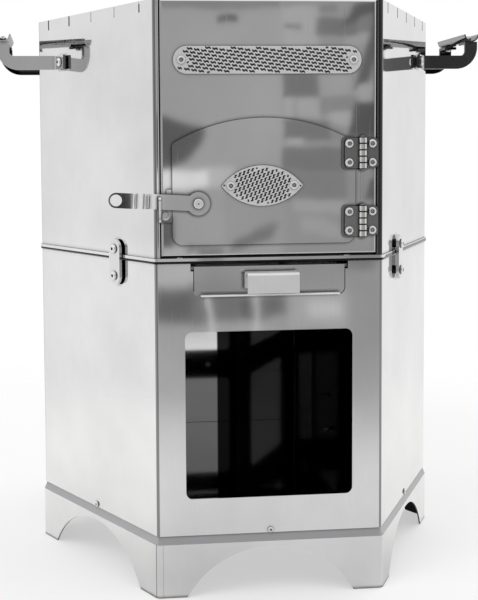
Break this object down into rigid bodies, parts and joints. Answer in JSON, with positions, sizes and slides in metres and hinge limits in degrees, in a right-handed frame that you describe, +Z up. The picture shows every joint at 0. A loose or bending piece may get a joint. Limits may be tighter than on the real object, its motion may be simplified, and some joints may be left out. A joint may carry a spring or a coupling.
{
  "type": "wood-fired kazan stove",
  "caption": "Hexagonal sheet-steel wood stove for a round-bottomed pot, with a hinged fire door and latch, an ash drawer, an open lower compartment, carrying handles and an arched skirt base.",
  "frame": {"origin": "on the ground, under the middle of the outline seen from above", "axes": "+Z up, the door faces -Y, +X to the right as seen from the front; the handles stand out along X"},
  "size_m": [0.543, 0.4118, 0.587],
  "materials": {
    "shell_sheet": "satin cold-rolled stainless sheet",
    "panel_sheet": "bright cold-rolled stainless sheet with soft reflections",
    "plate_sheet": "bare stainless plate with a fine stamped texture",
    "hinge_steel": "rolled steel, darkened between the knuckles",
    "latch_steel": "cut steel strip",
    "bracket_steel": "folded stainless strip",
    "fastener_zinc": "bright zinc-plated",
    "grate_iron": "as cast"
  },
  "bodies": {
    "stove_body": {"base_skirt": "shell_sheet", "base_floor": "panel_sheet", "base_floor_rivets": "fastener_zinc", "base_screws": "fastener_zinc", "base_nuts": "fastener_zinc", "lower_shell": "shell_sheet", "floor_tray": "shell_sheet", "fire_grate": "grate_iron", "drawer_runner_left": "panel_sheet", "drawer_runner_right": "panel_sheet", "runner_rivets": "fastener_zinc", "upper_shell": "shell_sheet", "front_panel": "panel_sheet", "front_panel_rivets": "fastener_zinc", "header_plate": "plate_sheet", "header_plate_rivets": "fastener_zinc", "lower_hinge_frame_leaf": "hinge_steel", "upper_hinge_frame_leaf": "hinge_steel", "lower_hinge_pin": "hinge_steel", "upper_hinge_pin": "hinge_steel", "hinge_frame_rivets": "fastener_zinc", "latch_keeper": "latch_steel", "keeper_rivet": "fastener_zinc", "join_plate_front_left": "bracket_steel", "join_plate_front_right": "bracket_steel", "join_plate_rear_left": "bracket_steel", "join_plate_rear_right": "bracket_steel", "join_spacers": "fastener_zinc", "join_bolts": "fastener_zinc", "join_nuts": "fastener_zinc", "handle_arm_front_left": "bracket_steel", "handle_arm_rear_left": "bracket_steel", "handle_arm_front_right": "bracket_steel", "handle_arm_rear_right": "bracket_steel", "handle_washers": "fastener_zinc", "handle_bolts": "fastener_zinc", "handle_nuts": "fastener_zinc", "grip_left": "bracket_steel", "grip_right": "bracket_steel", "grip_screws": "fastener_zinc", "grip_nuts": "fastener_zinc"},
    "fire_door": {"door": "panel_sheet", "door_plate": "plate_sheet", "door_plate_rivets": "fastener_zinc", "lower_hinge_door_leaf": "hinge_steel", "upper_hinge_door_leaf": "hinge_steel", "lower_hinge_shim": "hinge_steel", "upper_hinge_shim": "hinge_steel", "hinge_door_rivets": "fastener_zinc", "latch_bolt": "fastener_zinc", "latch_nut": "fastener_zinc"},
    "lever": {"latch_lever": "latch_steel"},
    "drawer": {"ash_drawer": "panel_sheet", "drawer_pull": "panel_sheet", "pull_rivets": "fastener_zinc"}
  },
  "joints": [
    {"name": "door_swing", "type": "hinge", "parent": "stove_body", "child": "fire_door", "pos_m": [0.0918, -0.19016, 0.4043], "axis": [0, 0, 1], "range_deg": [0, 160]},
    {"name": "latch_lift", "type": "hinge", "parent": "fire_door", "child": "lever", "pos_m": [-0.0707, -0.18921, 0.39015], "axis": [0, 1, 0], "range_deg": [0, 100]},
    {"name": "drawer_slide", "type": "slide", "parent": "stove_body", "child": "drawer", "axis": [0, -1, 0], "range_m": [0, 0.25]}
  ]
}
